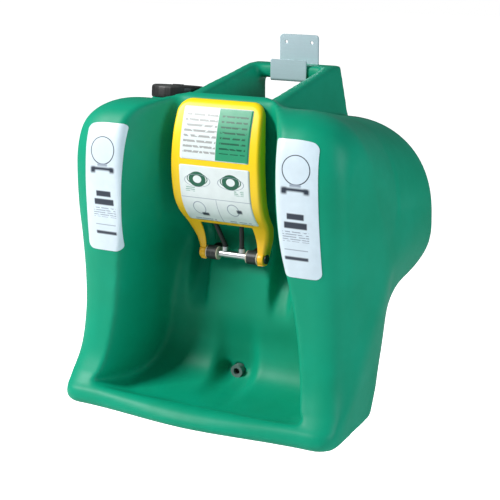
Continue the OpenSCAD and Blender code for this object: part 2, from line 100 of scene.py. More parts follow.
lens = bpy.data.cameras.new("camera")
lens.lens = 93.6
camera = placed("camera", lens)
camera.location = (1.297, -2.621, 0.282)
camera.rotation_euler = (math.radians(75.4), 0, math.radians(28.5))
scene.camera = camera
print("camera", tuple(round(v, 2) for v in camera.location), "lens", lens.lens)


# %% Soft lights and the pale surroundings
def soft_light(name, place, aim, size, power, colour=(1, 1, 1)):
    """A square lamp at place whose face is turned towards aim."""
    data = bpy.data.lights.new(name, "AREA")
    data.size, data.energy, data.color = size, power, colour
    lamp = placed(name, data)
    lamp.location = place
    lamp.rotation_euler = (lamp.location - Vector(aim)).to_track_quat("Z", "Y").to_euler()


middle = (0, -0.25, -0.4)
soft_light("key light", (-2.2, -2.3, 1.6), middle, 1.2, 158)
soft_light("right fill", (2.7, -0.9, 0.5), middle, 1.0, 38, (0.72, 0.92, 1.0))
world = bpy.data.worlds.new("studio")
scene.world = world
world.use_nodes = True
sky = world.node_tree
sky.nodes["Background"].inputs["Color"].default_value = (0.93, 0.97, 1.0, 1)
sky.nodes["Background"].inputs["Strength"].default_value = 0.18
white = sky.nodes.new("ShaderNodeBackground")
white.inputs["Color"].default_value = (1, 1, 1, 1)
seen = sky.nodes.new("ShaderNodeLightPath")
choose = sky.nodes.new("ShaderNodeMixShader")
sky.links.new(seen.outputs["Is Camera Ray"], choose.inputs["Fac"])
sky.links.new(sky.nodes["Background"].outputs[0], choose.inputs[1])
sky.links.new(white.outputs[0], choose.inputs[2])
sky.links.new(choose.outputs[0], sky.nodes["World Output"].inputs["Surface"])
print("two lamps and a pale sky")

# %% [markdown]
# ## Grids of points
# Almost every piece is a surface: a function of two parameters worked out on a grid, all
# points at once. Three helpers turn such arrays into meshes. The faces of a grid are found by
# counting, and a closed piece has its doubles merged and its faces turned outwards.


# %% Faces over a grid, and a mesh from arrays
def grid_faces(rows, cols, wrap_rows=False, wrap_cols=False):
    """Four-cornered faces between neighbours of a rows x cols grid, as one array of indices."""
    i = np.arange(rows if wrap_rows else rows - 1)
    j = np.arange(cols if wrap_cols else cols - 1)
    i, j = np.meshgrid(i, j, indexing="ij")
    down, right = (i + 1) % rows, (j + 1) % cols
    corners = [i * cols + j, i * cols + right, down * cols + right, down * cols + j]
    return np.stack(corners, -1).reshape(-1, 4)


def new_piece(name, points, faces, uv=None):
    """A mesh object from points in millimetres and a list of face arrays; uv is one per point."""
    mesh = bpy.data.meshes.new(name)
    flat = in_frame(points).reshape(-1, 3)
    mesh.from_pydata(flat.tolist(), [], [f for part in faces for f in part.tolist()])
    if uv is not None:
        corner_of = np.zeros(len(mesh.loops), np.int32)
        mesh.loops.foreach_get("vertex_index", corner_of)
        layer = mesh.uv_layers.new(name="print")
        layer.data.foreach_set("uv", uv.reshape(-1, 2)[corner_of].ravel().astype(np.float32))
    mesh.shade_smooth()
    return placed(name, mesh)


def close_up(obj):
    """Merges points that coincide, such as a seam's or a pole's, and turns faces outwards."""
    work = bmesh.new()
    work.from_mesh(obj.data)
    bmesh.ops.remove_doubles(work, verts=work.verts, dist=0.01 * MM)
    bmesh.ops.recalc_face_normals(work, faces=work.faces)
    work.to_mesh(obj.data)
    work.free()
    obj.data.shade_smooth()
    return obj


def together(shapes):
    """Several shapes, each (points, faces), as one list of points with the faces renumbered."""
    points, faces, count = [], [], 0
    for shape_points, shape_faces in shapes:
        flat = np.asarray(shape_points, float).reshape(-1, 3)
        points.append(flat)
        faces.extend(part + count for part in shape_faces)
        count += len(flat)
    return np.concatenate(points), faces


def baked(obj, name):
    """What obj looks like after its modifiers, as a new plain object; obj is removed."""
    graph = bpy.context.evaluated_depsgraph_get()
    mesh = bpy.data.meshes.new_from_object(obj.evaluated_get(graph))
    bpy.data.objects.remove(obj)
    mesh.name = name
    mesh.shade_smooth()
    return placed(name, mesh)


def thicken(obj, name, thickness, even=False):
    """A Solidify modifier: a sheet gets its thickness, in millimetres, behind its faces."""
    made = obj.modifiers.new(name, "SOLIDIFY")
    made.thickness, made.offset, made.use_even_offset = thickness * MM, -1, even


def soften(obj, name, width, angle):
    """A Bevel modifier, width in millimetres, on edges that turn by more than angle degrees."""
    made = obj.modifiers.new(name, "BEVEL")
    made.width, made.segments = width * MM, 2
    made.limit_method, made.angle_limit = "ANGLE", math.radians(angle)


def point_array(mesh):
    """The places of a mesh's points, one row each."""
    co = np.zeros(len(mesh.vertices) * 3)
    mesh.vertices.foreach_get("co", co)
    return co.reshape(-1, 3)


def move_points(mesh, co):
    """Puts a mesh's points at the rows of co."""
    mesh.vertices.foreach_set("co", co.ravel())
    mesh.update()


def drawn_in(away, radius):
    """How far a corner of that radius draws a side in, at a distance away from its end."""
    short = np.clip(radius - away, 0, radius)
    return radius - np.sqrt(radius**2 - short**2)


def smooth_step(f):
    """Rises from 0 at f = 0 to 1 at f = 1, level at both ends: 3 f squared less 2 f cubed."""
    g = np.clip(f, 0, 1)
    return g * g * (3 - 2 * g)


print("helpers ready")

# %% [markdown]
# ## Finishes
# Each finish is a Principled shader. What several of them share is a node group that is built
# once: the fine grain of moulded plastic, the streaks of brushed metal, light scuffs, dust that
# settles on what faces up, and the simple marks printed on the labels. A group gives out only
# numbers and masks. Each material places it with its own values.


# %% Small tools for node trees
class Tree:
    """A node tree with short ways to add nodes; values are sockets or plain numbers."""

    def __init__(self, tree):
        self.tree = tree

    def node(self, kind, **settings):
        made = self.tree.nodes.new(kind)
        for key, value in settings.items():
            setattr(made, key, value)
        return made

    def feed(self, socket, value):
        if isinstance(value, bpy.types.NodeSocket):
            self.tree.links.new(value, socket)
        elif value is not None:
            socket.default_value = value

    def math(self, operation, a, b=None, c=None, clamp=False):
        made = self.node("ShaderNodeMath", operation=operation, use_clamp=clamp)
        for socket, value in zip(made.inputs, (a, b, c)):
            self.feed(socket, value)
        return made.outputs[0]

    def mix(self, factor, a, b):
        made = self.node("ShaderNodeMix", data_type="RGBA")
        self.feed(made.inputs["Factor"], factor)
        self.feed(made.inputs["A"], a)
        self.feed(made.inputs["B"], b)
        return made.outputs["Result"]

    def ramp(self, value, low, high, to_low=0.0, to_high=1.0):
        made = self.node("ShaderNodeMapRange")
        for key, v in (("Value", value), ("From Min", low), ("From Max", high),
                       ("To Min", to_low), ("To Max", to_high)):
            self.feed(made.inputs[key], v)
        return made.outputs["Result"]

    def split(self, vector):
        made = self.node("ShaderNodeSeparateXYZ")
        self.feed(made.inputs[0], vector)
        return made.outputs

    def noise(self, vector, scale, detail=3.0, roughness=0.5):
        made = self.node("ShaderNodeTexNoise")
        self.feed(made.inputs["Vector"], vector)
        self.feed(made.inputs["Scale"], scale)
        made.inputs["Detail"].default_value = detail
        made.inputs["Roughness"].default_value = roughness
        return made.outputs["Fac"]

    def stretched(self, vector, scale):
        made = self.node("ShaderNodeMapping")
        self.feed(made.inputs["Vector"], vector)
        made.inputs["Scale"].default_value = scale
        return made.outputs["Vector"]


def new_group(name, inputs, outputs):
    """An empty node group with named sockets; returns its tools, its inputs and its end node."""
    tree = bpy.data.node_groups.new(name, "ShaderNodeTree")
    for label, kind, value in inputs:
        made = tree.interface.new_socket(label, in_out="INPUT", socket_type="NodeSocket" + kind)
        if value is not None:
            made.default_value = value
    for label in outputs:
        tree.interface.new_socket(label, in_out="OUTPUT", socket_type="NodeSocketFloat")
    tools = Tree(tree)
    return tools, tools.node("NodeGroupInput").outputs, tools.node("NodeGroupOutput").inputs


# %% Group: the grain and slow mottle of moulded plastic
g, given, out = new_group("moulded grain",
                          [("Vector", "Vector", None), ("Grain size", "Float", 900.0)],
                          ["Height", "Mottle"])
fine = g.noise(given["Vector"], given["Grain size"], 2.0)
slow = g.noise(given["Vector"], 9.0, 3.0, 0.55)
wavy = g.noise(given["Vector"], 38.0, 1.0)
g.feed(out["Height"], g.math("MULTIPLY_ADD", wavy, 1.6, g.math("MULTIPLY", fine, 0.35)))
g.feed(out["Mottle"], g.ramp(slow, 0.3, 0.7))
moulded_grain = g.tree

# %% Group: scuffs, thin and short, on what gets handled
g, given, out = new_group("scuffs", [("Vector", "Vector", None), ("Amount", "Float", 0.3)],
                          ["Mask"])
streak = g.noise(g.stretched(given["Vector"], (260, 260, 30)), 1.0, 2.0)
across = g.noise(g.stretched(given["Vector"], (25, 240, 240)), 1.0, 2.0)
where = g.ramp(g.noise(given["Vector"], 14.0, 2.0), 0.52, 0.7)
lines = g.math("MAXIMUM", g.ramp(streak, 0.66, 0.74), g.ramp(across, 0.67, 0.75))
g.feed(out["Mask"], g.math("MULTIPLY", g.math("MULTIPLY", lines, where), given["Amount"]))
scuffs = g.tree

# %% Group: dust on what faces up
g, given, out = new_group("dust", [("Vector", "Vector", None), ("Amount", "Float", 0.1)],
                          ["Mask"])
facing = g.split(g.node("ShaderNodeNewGeometry").outputs["Normal"])
patchy = g.ramp(g.noise(given["Vector"], 22.0, 4.0, 0.6), 0.35, 0.75)
settled = g.math("MULTIPLY", g.ramp(facing["Z"], 0.3, 1.0), patchy)
g.feed(out["Mask"], g.math("MULTIPLY", settled, given["Amount"]))
dust = g.tree

# %% Group: brushed streaks along one axis
g, given, out = new_group("brushed", [("Vector", "Vector", None)], ["Height", "Shine"])
thin = g.noise(g.stretched(given["Vector"], (12, 900, 900)), 1.0, 3.0, 0.6)
cloudy = g.noise(given["Vector"], 30.0, 3.0)
g.feed(out["Height"], thin)
g.feed(out["Shine"], g.math("MULTIPLY_ADD", thin, 0.6, g.math("MULTIPLY", cloudy, 0.4)))
brushed = g.tree
print("shared groups:", [t.name for t in bpy.data.node_groups])


# %% A plain start for every material
def start_material(name):
    """A material with its tree tools, its Principled shader and the object's coordinates."""
    made = bpy.data.materials.new(name)
    made.use_nodes = True
    tools = Tree(made.node_tree)
    shader = made.node_tree.nodes["Principled BSDF"]
    place = tools.node("ShaderNodeTexCoord").outputs["Object"]
    return made, tools, shader, place


def use_group(tools, group, **values):
    """Places a shared group and feeds its inputs by name; returns its outputs."""
    made = tools.node("ShaderNodeGroup", node_tree=group)
    for key, value in values.items():
        tools.feed(made.inputs[key.replace("_", " ")], value)
    return made.outputs


def bump(tools, height, strength, distance):
    made = tools.node("ShaderNodeBump")
    made.inputs["Strength"].default_value = strength
    made.inputs["Distance"].default_value = distance
    tools.feed(made.inputs["Height"], height)
    return made.outputs["Normal"]


def plastic(name, colour, deep, rough, grain=900.0, scuffed=0.3, dusty=0.1, level=0.5,
            pale=(0.6, 0.66, 0.62, 1)):
    """Moulded plastic: colour drifts slowly to deep, scuffs and dust are pale and dull."""
    made, tools, shader, place = start_material(name)
    grain_out = use_group(tools, moulded_grain, Vector=place, Grain_size=grain)
    scuff = use_group(tools, scuffs, Vector=place, Amount=scuffed)["Mask"]
    fall = use_group(tools, dust, Vector=place, Amount=dusty)["Mask"]
    base = tools.mix(grain_out["Mottle"], (*colour, 1), (*deep, 1))
    worn = tools.math("MAXIMUM", scuff, fall)
    tools.feed(shader.inputs["Base Color"], tools.mix(worn, base, pale))
    dull = tools.math("MULTIPLY_ADD", grain_out["Mottle"], 0.08, rough)
    tools.feed(shader.inputs["Roughness"], tools.math("MULTIPLY_ADD", worn, 0.35, dull))
    tools.feed(shader.inputs["Normal"], bump(tools, grain_out["Height"], 0.35, 0.0003))
    shader.inputs["Specular IOR Level"].default_value = level
    return made


def metal(name, colour, rough, metallic=1.0):
    """Brushed or turned metal: streaks move the roughness and a fine bump."""
    made, tools, shader, place = start_material(name)
    streaks = use_group(tools, brushed, Vector=place)
    scuff = use_group(tools, scuffs, Vector=place, Amount=0.2)["Mask"]
    dark = tuple(0.72 * v for v in colour)
    base = tools.mix(streaks["Shine"], (*dark, 1), (*colour, 1))
    tools.feed(shader.inputs["Base Color"], tools.mix(scuff, base, (0.82, 0.84, 0.86, 1)))
    tools.feed(shader.inputs["Roughness"], tools.ramp(streaks["Shine"], 0.2, 0.8,
                                                      rough + 0.1, rough - 0.06))
    tools.feed(shader.inputs["Normal"], bump(tools, streaks["Height"], 0.25, 0.0002))
    shader.inputs["Metallic"].default_value = metallic
    return made


green = plastic("tank plastic", (0.0, 0.31, 0.178), (0.0, 0.272, 0.148), 0.44, 1300.0,
                scuffed=0.08, dusty=0.03, level=0.22, pale=(0.06, 0.40, 0.28, 1))
black = plastic("cap plastic", (0.004, 0.0035, 0.004), (0.008, 0.007, 0.0075), 0.45,
                scuffed=0.25, dusty=0.12)
steel = metal("bracket steel", (0.58, 0.72, 0.78), 0.42, metallic=0.55)
tube_steel = metal("tube steel", (0.62, 0.64, 0.64), 0.3)
brass = metal("insert brass", (0.62, 0.42, 0.16), 0.34)
nylon = plastic("bush nylon", (0.72, 0.66, 0.50), (0.62, 0.56, 0.42), 0.42, dusty=0.05)
fitting = plastic("fitting plastic", (0.012, 0.014, 0.014), (0.02, 0.022, 0.022), 0.4)
rubber = plastic("riser rubber", (0.012, 0.012, 0.013), (0.02, 0.02, 0.021), 0.62, 1500.0)
seal = plastic("seal rubber", (0.02, 0.02, 0.02), (0.03, 0.03, 0.03), 0.7, 1500.0)
head_green = plastic("head plastic", (0.20, 0.42, 0.05), (0.16, 0.36, 0.04), 0.35)
screen_white = plastic("screen plastic", (0.7, 0.72, 0.72), (0.62, 0.65, 0.65), 0.4)
drain_grey = plastic("drain plastic", (0.16, 0.22, 0.21), (0.12, 0.17, 0.16), 0.38)
plug_black = plastic("drain plug plastic", (0.008, 0.012, 0.010), (0.014, 0.018, 0.015), 0.45)
print(len(bpy.data.materials), "materials so far")

# %% Yellow plastic that deepens to orange towards the hinge
yellow, tools, shader, place = start_material("arm plastic")
arm_low, arm_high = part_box("activation_arm")
lower = tools.ramp(tools.split(place)["Z"], arm_low.z, arm_high.z, 1.0, 0.0)
grain_out = use_group(tools, moulded_grain, Vector=place, Grain_size=1100.0)
scuff = use_group(tools, scuffs, Vector=place, Amount=0.35)["Mask"]
base = tools.mix(lower, (0.96, 0.74, 0.004, 1), (0.88, 0.45, 0.010, 1))
base = tools.mix(tools.math("MULTIPLY", grain_out["Mottle"], 0.25), base, (0.80, 0.50, 0.006, 1))
tools.feed(shader.inputs["Base Color"], tools.mix(scuff, base, (0.85, 0.78, 0.45, 1)))
tools.feed(shader.inputs["Roughness"], tools.math("MULTIPLY_ADD", grain_out["Mottle"], 0.08, 0.34))
tools.feed(shader.inputs["Normal"], bump(tools, grain_out["Height"], 0.3, 0.0003))
shader.inputs["Specular IOR Level"].default_value = 0.4
print("arm colour runs between heights", round(arm_low.z, 3), round(arm_high.z, 3))

# %% [markdown]
# ## The tank's outer surface
# A rotomoulded tank has no sharp edge. Its surface is worked out from a few outlines: down the
# middle of the front, down the crest of a cheek, down the flat side wall, and the same behind.
# Between the outlines the surface is a blend. The carrying legs, the bar and the hump under
# the cap are simple solids that overlap it. Remeshing fuses them into one skin, and many small
# smoothing steps give the seams the wide soft radius that molten plastic leaves.

# %% Outlines, as depth from the wall and height above the foot
channel_line = [
    [200, 617], [286, 640], [326, 662], [344, 640], [334, 585], [332, 510], [306, 415],
    [262, 345], [281, 275], [289, 195], [277, 114], [286, 50], [344, 29], [438, 26],
    [481, 41], [510, 36], [524, 12], [508, 0]]
swept_line = channel_line[:9] + [
    [290, 195], [286, 118], [306, 62], [352, 36], [436, 26]] + channel_line[14:]
cheek_line = [
    [200, 617], [300, 638], [372, 648], [428, 628], [454, 575], [460, 500], [455, 415],
    [447, 345], [439, 275], [437, 195], [450, 115], [470, 68], [478, 56], [484, 48],
    [489, 42], [498, 33], [502, 12], [490, 0]]
side_line = [
    [200, 430], [300, 500], [345, 545], [382, 548], [400, 515], [403, 470], [400, 405],
    [392, 345], [386, 275], [388, 195], [408, 115], [432, 74], [440, 60], [446, 50],
    [452, 42], [458, 32], [460, 20], [450, 10]]
back_line = [
    [200, 617], [110, 602], [35, 588], [8, 560], [2, 500], [2, 430], [2, 360], [6, 305],
    [30, 274], [90, 256], [142, 243], [172, 220], [192, 178], [212, 125], [236, 65],
    [258, 18], [268, 4], [282, 0]]
back_side_line = [
    [200, 430], [120, 420], [60, 405], [40, 390], [34, 375], [32, 360], [32, 345], [36, 325],
    [62, 300], [105, 282], [150, 270], [205, 232], [222, 185], [236, 128], [260, 68],
    [281, 26], [290, 14], [300, 10]]
LAST = len(channel_line) - 1


def along(line, u):
    """A smooth curve through the line's points: the Catmull-Rom cubic of the four nearest."""
    line = np.asarray(line, float)
    x = np.clip(u, 0, 0.99999) * (len(line) - 1)
    i = np.floor(x).astype(int)
    f = (x - i)[..., None]
    a, b, c = line[np.maximum(i - 1, 0)], line[i], line[i + 1]
    d = line[np.minimum(i + 2, len(line) - 1)]
    return 0.5 * (2 * b + (c - a) * f + (2 * a - 5 * b + 4 * c - d) * f**2
                  + (3 * b - a - 3 * c + d) * f**3)


def eased(t, table):
    """The table's straight-line value, averaged over a short stretch so that it has no kink."""
    table = np.asarray(table, float)
    shifts = np.linspace(-0.7, 0.7, 9)
    return sum(np.interp(t + s, table[:, 0], table[:, 1]) for s in shifts) / len(shifts)


# %% Half widths at each station down an outline
channel_half = [[0, 60], [2, 90], [3, 108], [6, 108], [12, 210], [13, 210], [14, 0], [LAST, 0]]
cheek_half = [[0, 140], [2, 150], [3, 188], [6, 188], [10, 235], [13, 260], [LAST, 265]]
front_half = [[0, 326.5], [3, 315], [9, 315], [12, 321], [LAST, 321]]
front_round = [[0, 150], [2, 130], [3, 105], [6, 92], [10, 58], [LAST, 46]]
back_half = [[0, 326.5], [2, 338], [6, 338], [11, 312], [LAST, 312]]
back_round = [[0, 150], [2, 200], [3, 200], [6, 120], [8, 90], [12, 45], [LAST, 40]]
SQUARE = 2.2
ROUND_FROM = 0.66


def front_yz(x, u):
    """Depth and height: the channel outline in the middle, the cheek outline past it, and
    between them a smooth step. The bowl's back sweeps into its floor, but for a hollow at the
    drain, and a groove that narrows downwards runs beside the column behind the hinge."""
    t = u * LAST
    x = np.abs(x)
    low, high = eased(t, channel_half), eased(t, cheek_half)
    w = smooth_step((x - low) / np.maximum(high - low, 1))[..., None]
    sweep = smooth_step((x - 26) / 34)[..., None]
    channel = along(channel_line, u) * (1 - sweep) + along(swept_line, u) * sweep
    level = channel[..., 1]
    groove = smooth_step((x - 72) / 14) * smooth_step((128 - x) / 16)
    channel[..., 0] -= 44 * groove * smooth_step((level - 168) / 150) * smooth_step(
        (470 - level) / 90)
    return channel * (1 - w) + along(cheek_line, u) * w


def skin(s, t):
    """Point at s across (-1 to 1) and t round the section (-1 at the foot behind, 0 at the
    crown, 1 at the foot in front). The last third of s turns into the side wall."""
    u = np.minimum(1, np.abs(t))
    station = u * LAST
    front = t >= 0
    half = np.where(front, eased(station, front_half), eased(station, back_half))
    radius = np.where(front, eased(station, front_round), eased(station, back_round))
    q = np.abs(s)
    turn = np.clip((q - ROUND_FROM) / (1 - ROUND_FROM), 0, 1) * np.pi / 2
    x = (half - radius) * np.minimum(1, q / ROUND_FROM) + radius * np.sin(turn) ** (2 / SQUARE)
    inner = np.where(front[..., None], front_yz(x, u), along(back_line, u))
    edge = np.where(front[..., None], along(side_line, u), along(back_side_line, u))
    w = (1 - np.clip(np.cos(turn), 0, 1) ** (2 / SQUARE))[..., None]
    yz = inner * (1 - w) + edge * w
    return np.stack([np.sign(s) * x, -yz[..., 0], yz[..., 1]], -1)


# %% The skin as a closed solid
ACROSS, DOWN = 150, 130
ring = 2 * DOWN + 1
t_ring = np.concatenate([np.arange(DOWN + 1) / DOWN, -np.arange(DOWN, 0, -1) / DOWN])
s_grid, t_grid = np.meshgrid(np.linspace(-1, 1, ACROSS + 1), t_ring, indexing="ij")
skin_points = skin(s_grid, t_grid).reshape(-1, 3)
HALF_WIDTH, HUB_DEPTH, HUB_HEIGHT = 338, 250, 330
hubs = np.array([[side * HALF_WIDTH, -HUB_DEPTH, HUB_HEIGHT] for side in (-1, 1)], float)
j = np.arange(ring)
hub = len(skin_points)
far = ACROSS * ring
skin_faces = [
    grid_faces(ACROSS + 1, ring, wrap_cols=True),
    np.stack([j, (j + 1) % ring, np.full(ring, hub)], -1),
    np.stack([far + (j + 1) % ring, far + j, np.full(ring, hub + 1)], -1)]
print("skin grid", s_grid.shape, "points")


# %% The carrying legs and the bar between them
def prism(outline, inside, outside):
    """A flat outline in depth and height, carried from x = inside to x = outside(height)."""
    outline = np.asarray(outline, float)
    near = np.stack([np.full(len(outline), inside), outline[:, 0], outline[:, 1]], -1)
    wide = np.stack([outside(outline[:, 1]), outline[:, 0], outline[:, 1]], -1)
    n = len(outline)
    return np.concatenate([near, wide]), [
        grid_faces(2, n, wrap_cols=True), np.arange(n)[None, ::-1], np.arange(n, 2 * n)[None]]


BAR_TOP, BAR_HEIGHT, BAR_HALF, LEG = 694.5, 32, 106, 27
ARCH_FOOT, LEG_SPREAD = 560, 25
side_of_leg = [[-4, BAR_TOP], [-52, BAR_TOP], [-318, 652], [-318, ARCH_FOOT], [-4, ARCH_FOOT]]
legs = [
    prism(side_of_leg, side * (BAR_HALF - LEG),
          lambda z, side=side: side * (
              BAR_HALF + (BAR_TOP - z) * LEG_SPREAD / (BAR_TOP - ARCH_FOOT)))
    for side in (-1, 1)]
BAR_FOOT = BAR_TOP - BAR_HEIGHT
bar = prism([[-4, BAR_TOP], [-52, BAR_TOP], [-52, BAR_FOOT], [-4, BAR_FOOT]],
            -BAR_HALF + 1, lambda z: np.full(len(z), BAR_HALF - 1.0))


# %% The hump and neck under the cap
def lathe(profile, turns=96, wobble=None):
    """A profile of radius and height turned about the Z axis. wobble(angle, k) adds to the
    radius, to cut ribs; the ends on the axis are closed when doubles are merged."""
    profile = np.asarray(profile, float)
    angle = np.linspace(0, 2 * np.pi, turns, endpoint=False)[:, None]
    radius = profile[None, :, 0] + 0 * angle
    if wobble is not None:
        radius = radius + wobble(angle, len(profile))
    points = np.stack([radius * np.cos(angle), radius * np.sin(angle),
                       np.broadcast_to(profile[None, :, 1], radius.shape)], -1)
    return points, [grid_faces(turns, len(profile), wrap_rows=True)]


NECK_LEAN = math.radians(7)
NECK_AT = np.array([-180, -230, 620.0])


def at_neck(points):
    """Leans points back by the neck's angle, about X, and moves them to the neck."""
    c, s = math.cos(NECK_LEAN), math.sin(NECK_LEAN)
    turn = np.array([[1, 0, 0], [0, c, s], [0, -s, c]])
    return points @ turn.T + NECK_AT


hump_points, hump_faces = lathe([[0, -50], [74, -50], [70, -24], [65, -8], [62, 3], [58, 8],
                                 [51, 9.5], [51, 30], [0, 30]])
points, faces = together([(np.concatenate([skin_points, hubs]), skin_faces), *legs, bar,
                          (at_neck(hump_points), hump_faces)])
rough_tank = close_up(new_piece("tank_parts", points, faces))
print("parts of the tank:", len(points), "points")

# %% Fuse the parts into one skin
VOXEL = 4.6 * MM
remesh = rough_tank.modifiers.new("fuse", "REMESH")
remesh.mode = "VOXEL"
remesh.voxel_size = VOXEL
tank = baked(rough_tank, "tank")


# %% Smooth it, most where parts meet
def neighbour_mean(co, edges, degree):
    """For every point at once, the mean of the points that an edge joins it to."""
    total = np.stack([
        np.bincount(edges[:, 0], co[edges[:, 1], k], len(co))
        + np.bincount(edges[:, 1], co[edges[:, 0], k], len(co)) for k in range(3)], -1)
    return total / degree[:, None]


def relax(obj, steps, weight=None, shrink_free=True):
    """Moves each point towards its neighbours' mean, then back a little, so it keeps its size."""
    mesh = obj.data
    co = point_array(mesh)
    edges = np.zeros(len(mesh.edges) * 2, np.int32)
    mesh.edges.foreach_get("vertices", edges)
    edges = edges.reshape(-1, 2)
    degree = np.maximum(np.bincount(edges.ravel(), minlength=len(co)), 1)
    w = np.ones(len(co)) if weight is None else weight(co)
    for _ in range(steps):
        co = co + 0.5 * w[:, None] * (neighbour_mean(co, edges, degree) - co)
        if shrink_free:
            co = co - 0.52 * w[:, None] * (neighbour_mean(co, edges, degree) - co)
    move_points(mesh, co)


def near_arch(co):
    """1 round the legs and the hump, fading to 0 over a few centimetres."""
    x, y, z = from_foot(co).T
    legs_near = smooth_step((175 - np.abs(x)) / 30) * smooth_step((z - 560) / 40)
    fin = 1 - 0.7 * smooth_step((-y - 300) / 25)
    away = np.sqrt((x + 180) ** 2 + (y + 230) ** 2)
    hump_near = smooth_step((105 - away) / 20) * (z > 560) * smooth_step((away - 60) / 8)
    return np.clip(np.maximum(legs_near * fin, 0.8 * hump_near), 0, 1)


def on_side(co):
    """1 on the side walls below the bulge, where the outlines behind and in front meet."""
    x, y, z = from_foot(co).T
    level = smooth_step((z - 60) / 60) * smooth_step((430 - z) / 80)
    return level * smooth_step((np.abs(x) - 285) / 30) * smooth_step((-y - 20) / 40)


relax(tank, 26)
relax(tank, 14, near_arch, shrink_free=False)
relax(tank, 60, on_side, shrink_free=False)
print("tank:", len(tank.data.polygons), "faces")


# %% Press in the drain seat and the pocket beside it
def press(obj):
    """Pushes points back along Y: a round seat of depth 26 where the drain insert sits, and a
    leaning oval pocket beside it, deepest in its middle and fading like a bell curve."""
    co = point_array(obj.data)
    x, y, z = from_foot(co).T
    front = (y < -255) & (y > -400)
    drain_height, seat_radius, seat_depth, pocket_depth = 56, 13.5, 26, 18
    away = np.hypot(x, z - drain_height)
    seat = seat_depth * smooth_step((seat_radius - away) / 4)
    lean_x, lean_z = (x + 24) + 0.45 * (z - 46), (z - 46) - 0.2 * (x + 24)
    pocket = pocket_depth * np.exp(-((lean_x / 15) ** 2 + (lean_z / 22) ** 2) ** 1.5)
    co[:, 1] += front * np.maximum(seat, pocket) * MM
    move_points(obj.data, co)


press(tank)
tank.data.materials.append(green)
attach(tank, "tank")
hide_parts("tank_shell")

# %% [markdown]
# ## The yellow arm
# The arm is a pressed shell: a face that bows forward, edges that roll back into a rim, two
# rounded upper corners, and two legs beside a window. It could be cut from a block, but a shell
# is easier as one surface with two parameters. One runs round the outline, from the left foot
# over the top to the right foot. The other runs across: up the rim, over the roll, and in over
# the face to the edge of the window. A Solidify modifier then gives the sheet its thickness.

# %% The arm's side view and outline
arm_line = [[354, 651], [363, 634], [377, 592], [385, 545], [385, 500], [378, 453],
            [362, 420], [334, 388], [316, 352], [314, 306]]
dense = along(arm_line, np.linspace(0, 1, 400))
ARM_TOP, ARM_FOOT, CORNER = 653.0, 306.0, 30.0
ROLL, RIM = 8.0, 26.0
WINDOW_TOP, WINDOW_HALF = 392.0, 62.0


def arm_depth(z):
    """How far the arm's face stands from the wall at height z."""
    return np.interp(z, dense[::-1, 1], dense[::-1, 0])


def arm_half(z):
    """Half the arm's width at height z, before its corners are rounded."""
    knots = [[300, 76.5], [335, 79], [365, 90], [400, 100], [440, 104], [500, 105],
             [600, 102], [660, 97]]
    table = np.asarray(knots, float)
    shifts = np.linspace(-16, 16, 9)
    return sum(np.interp(z + d, table[:, 0], table[:, 1]) for d in shifts) / 9


def even_steps(line, count):
    """The same polyline with count points at equal distances along it."""
    step = np.hypot(*np.diff(line, axis=0).T)
    walked = np.concatenate([[0], np.cumsum(step)])
    at = np.linspace(0, walked[-1], count)
    return np.stack([np.interp(at, walked, line[:, k]) for k in (0, 1)], -1), at


corner_z = ARM_TOP - CORNER
rise = np.linspace(ARM_FOOT, corner_z, 120)
bend = np.linspace(0, np.pi / 2, 24)[1:]
corner_x = arm_half(corner_z) - CORNER
left_side = np.stack([-arm_half(rise), rise], -1)
left_bend = np.stack([-corner_x - CORNER * np.cos(bend), corner_z + CORNER * np.sin(bend)], -1)
half_way = np.concatenate([left_side, left_bend, [[0, ARM_TOP]]])
outline = np.concatenate([half_way, (half_way * [-1, 1])[::-1][1:]])
outline, walked = even_steps(outline, 261)
print("outline length", round(walked[-1]), "mm")

# %% The arm as one surface
tangent = np.gradient(outline, axis=0)
tangent /= np.linalg.norm(tangent, axis=1)[:, None]
inward = np.stack([tangent[:, 1], -tangent[:, 0]], -1)
core = np.array([[-WINDOW_HALF, ARM_FOOT], [-WINDOW_HALF, WINDOW_TOP],
                 [WINDOW_HALF, WINDOW_TOP], [WINDOW_HALF, ARM_FOOT]])
core_line, core_walked = even_steps(core, 400)
leg_walk = np.interp(WINDOW_TOP, outline[:100, 1], walked[:100])
core_at = np.interp(walked, [0, leg_walk, walked[-1] - leg_walk, walked[-1]],
                    [0, WINDOW_TOP - ARM_FOOT, core_walked[-1] - (WINDOW_TOP - ARM_FOOT),
                     core_walked[-1]])
core_point = np.stack([np.interp(core_at, core_walked, core_line[:, k]) for k in (0, 1)], -1)
rim = np.interp(outline[:, 1], [306, 330, 560, 620, 653], [RIM - 9, RIM, RIM, RIM - 9, RIM - 15])
roll = np.minimum(ROLL, 0.48 * np.linalg.norm(core_point - outline, axis=1))
angle = np.linspace(0, np.pi / 2, 9)
rows = []
for f in np.linspace(0, 1, 7)[:-1]:
    rows.append((0 * roll, rim + f * (roll - rim)))
rows += [(roll * (1 - np.cos(a)), roll * (1 - np.sin(a))) for a in angle]
edge_rows = [(outline + inward * inset[:, None], back) for inset, back in rows]
last_edge = edge_rows[-1][0]
for f in np.linspace(0, 1, 34)[1:]:
    edge_rows.append((last_edge * (1 - f) + core_point * f, 0 * roll))
arm_grid = np.stack([
    np.stack([at[:, 0], -arm_depth(at[:, 1]) + back, at[:, 1]], -1)
    for at, back in edge_rows])
arm = new_piece("arm_shell", arm_grid, [grid_faces(*arm_grid.shape[:2])[:, ::-1]])
thicken(arm, "wall", 3, even=True)
soften(arm, "soft edge", 0.5, 50)
arm.data.materials.append(yellow)
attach(arm, "arm")
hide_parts("activation_arm")
print("arm grid", arm_grid.shape[:2])


# %% The hinge bosses at the feet of the arm
def across_x(points):
    """Turns a shape whose axis is Z so that its axis is X."""
    return np.stack([points[..., 2], points[..., 1], -points[..., 0]], -1)


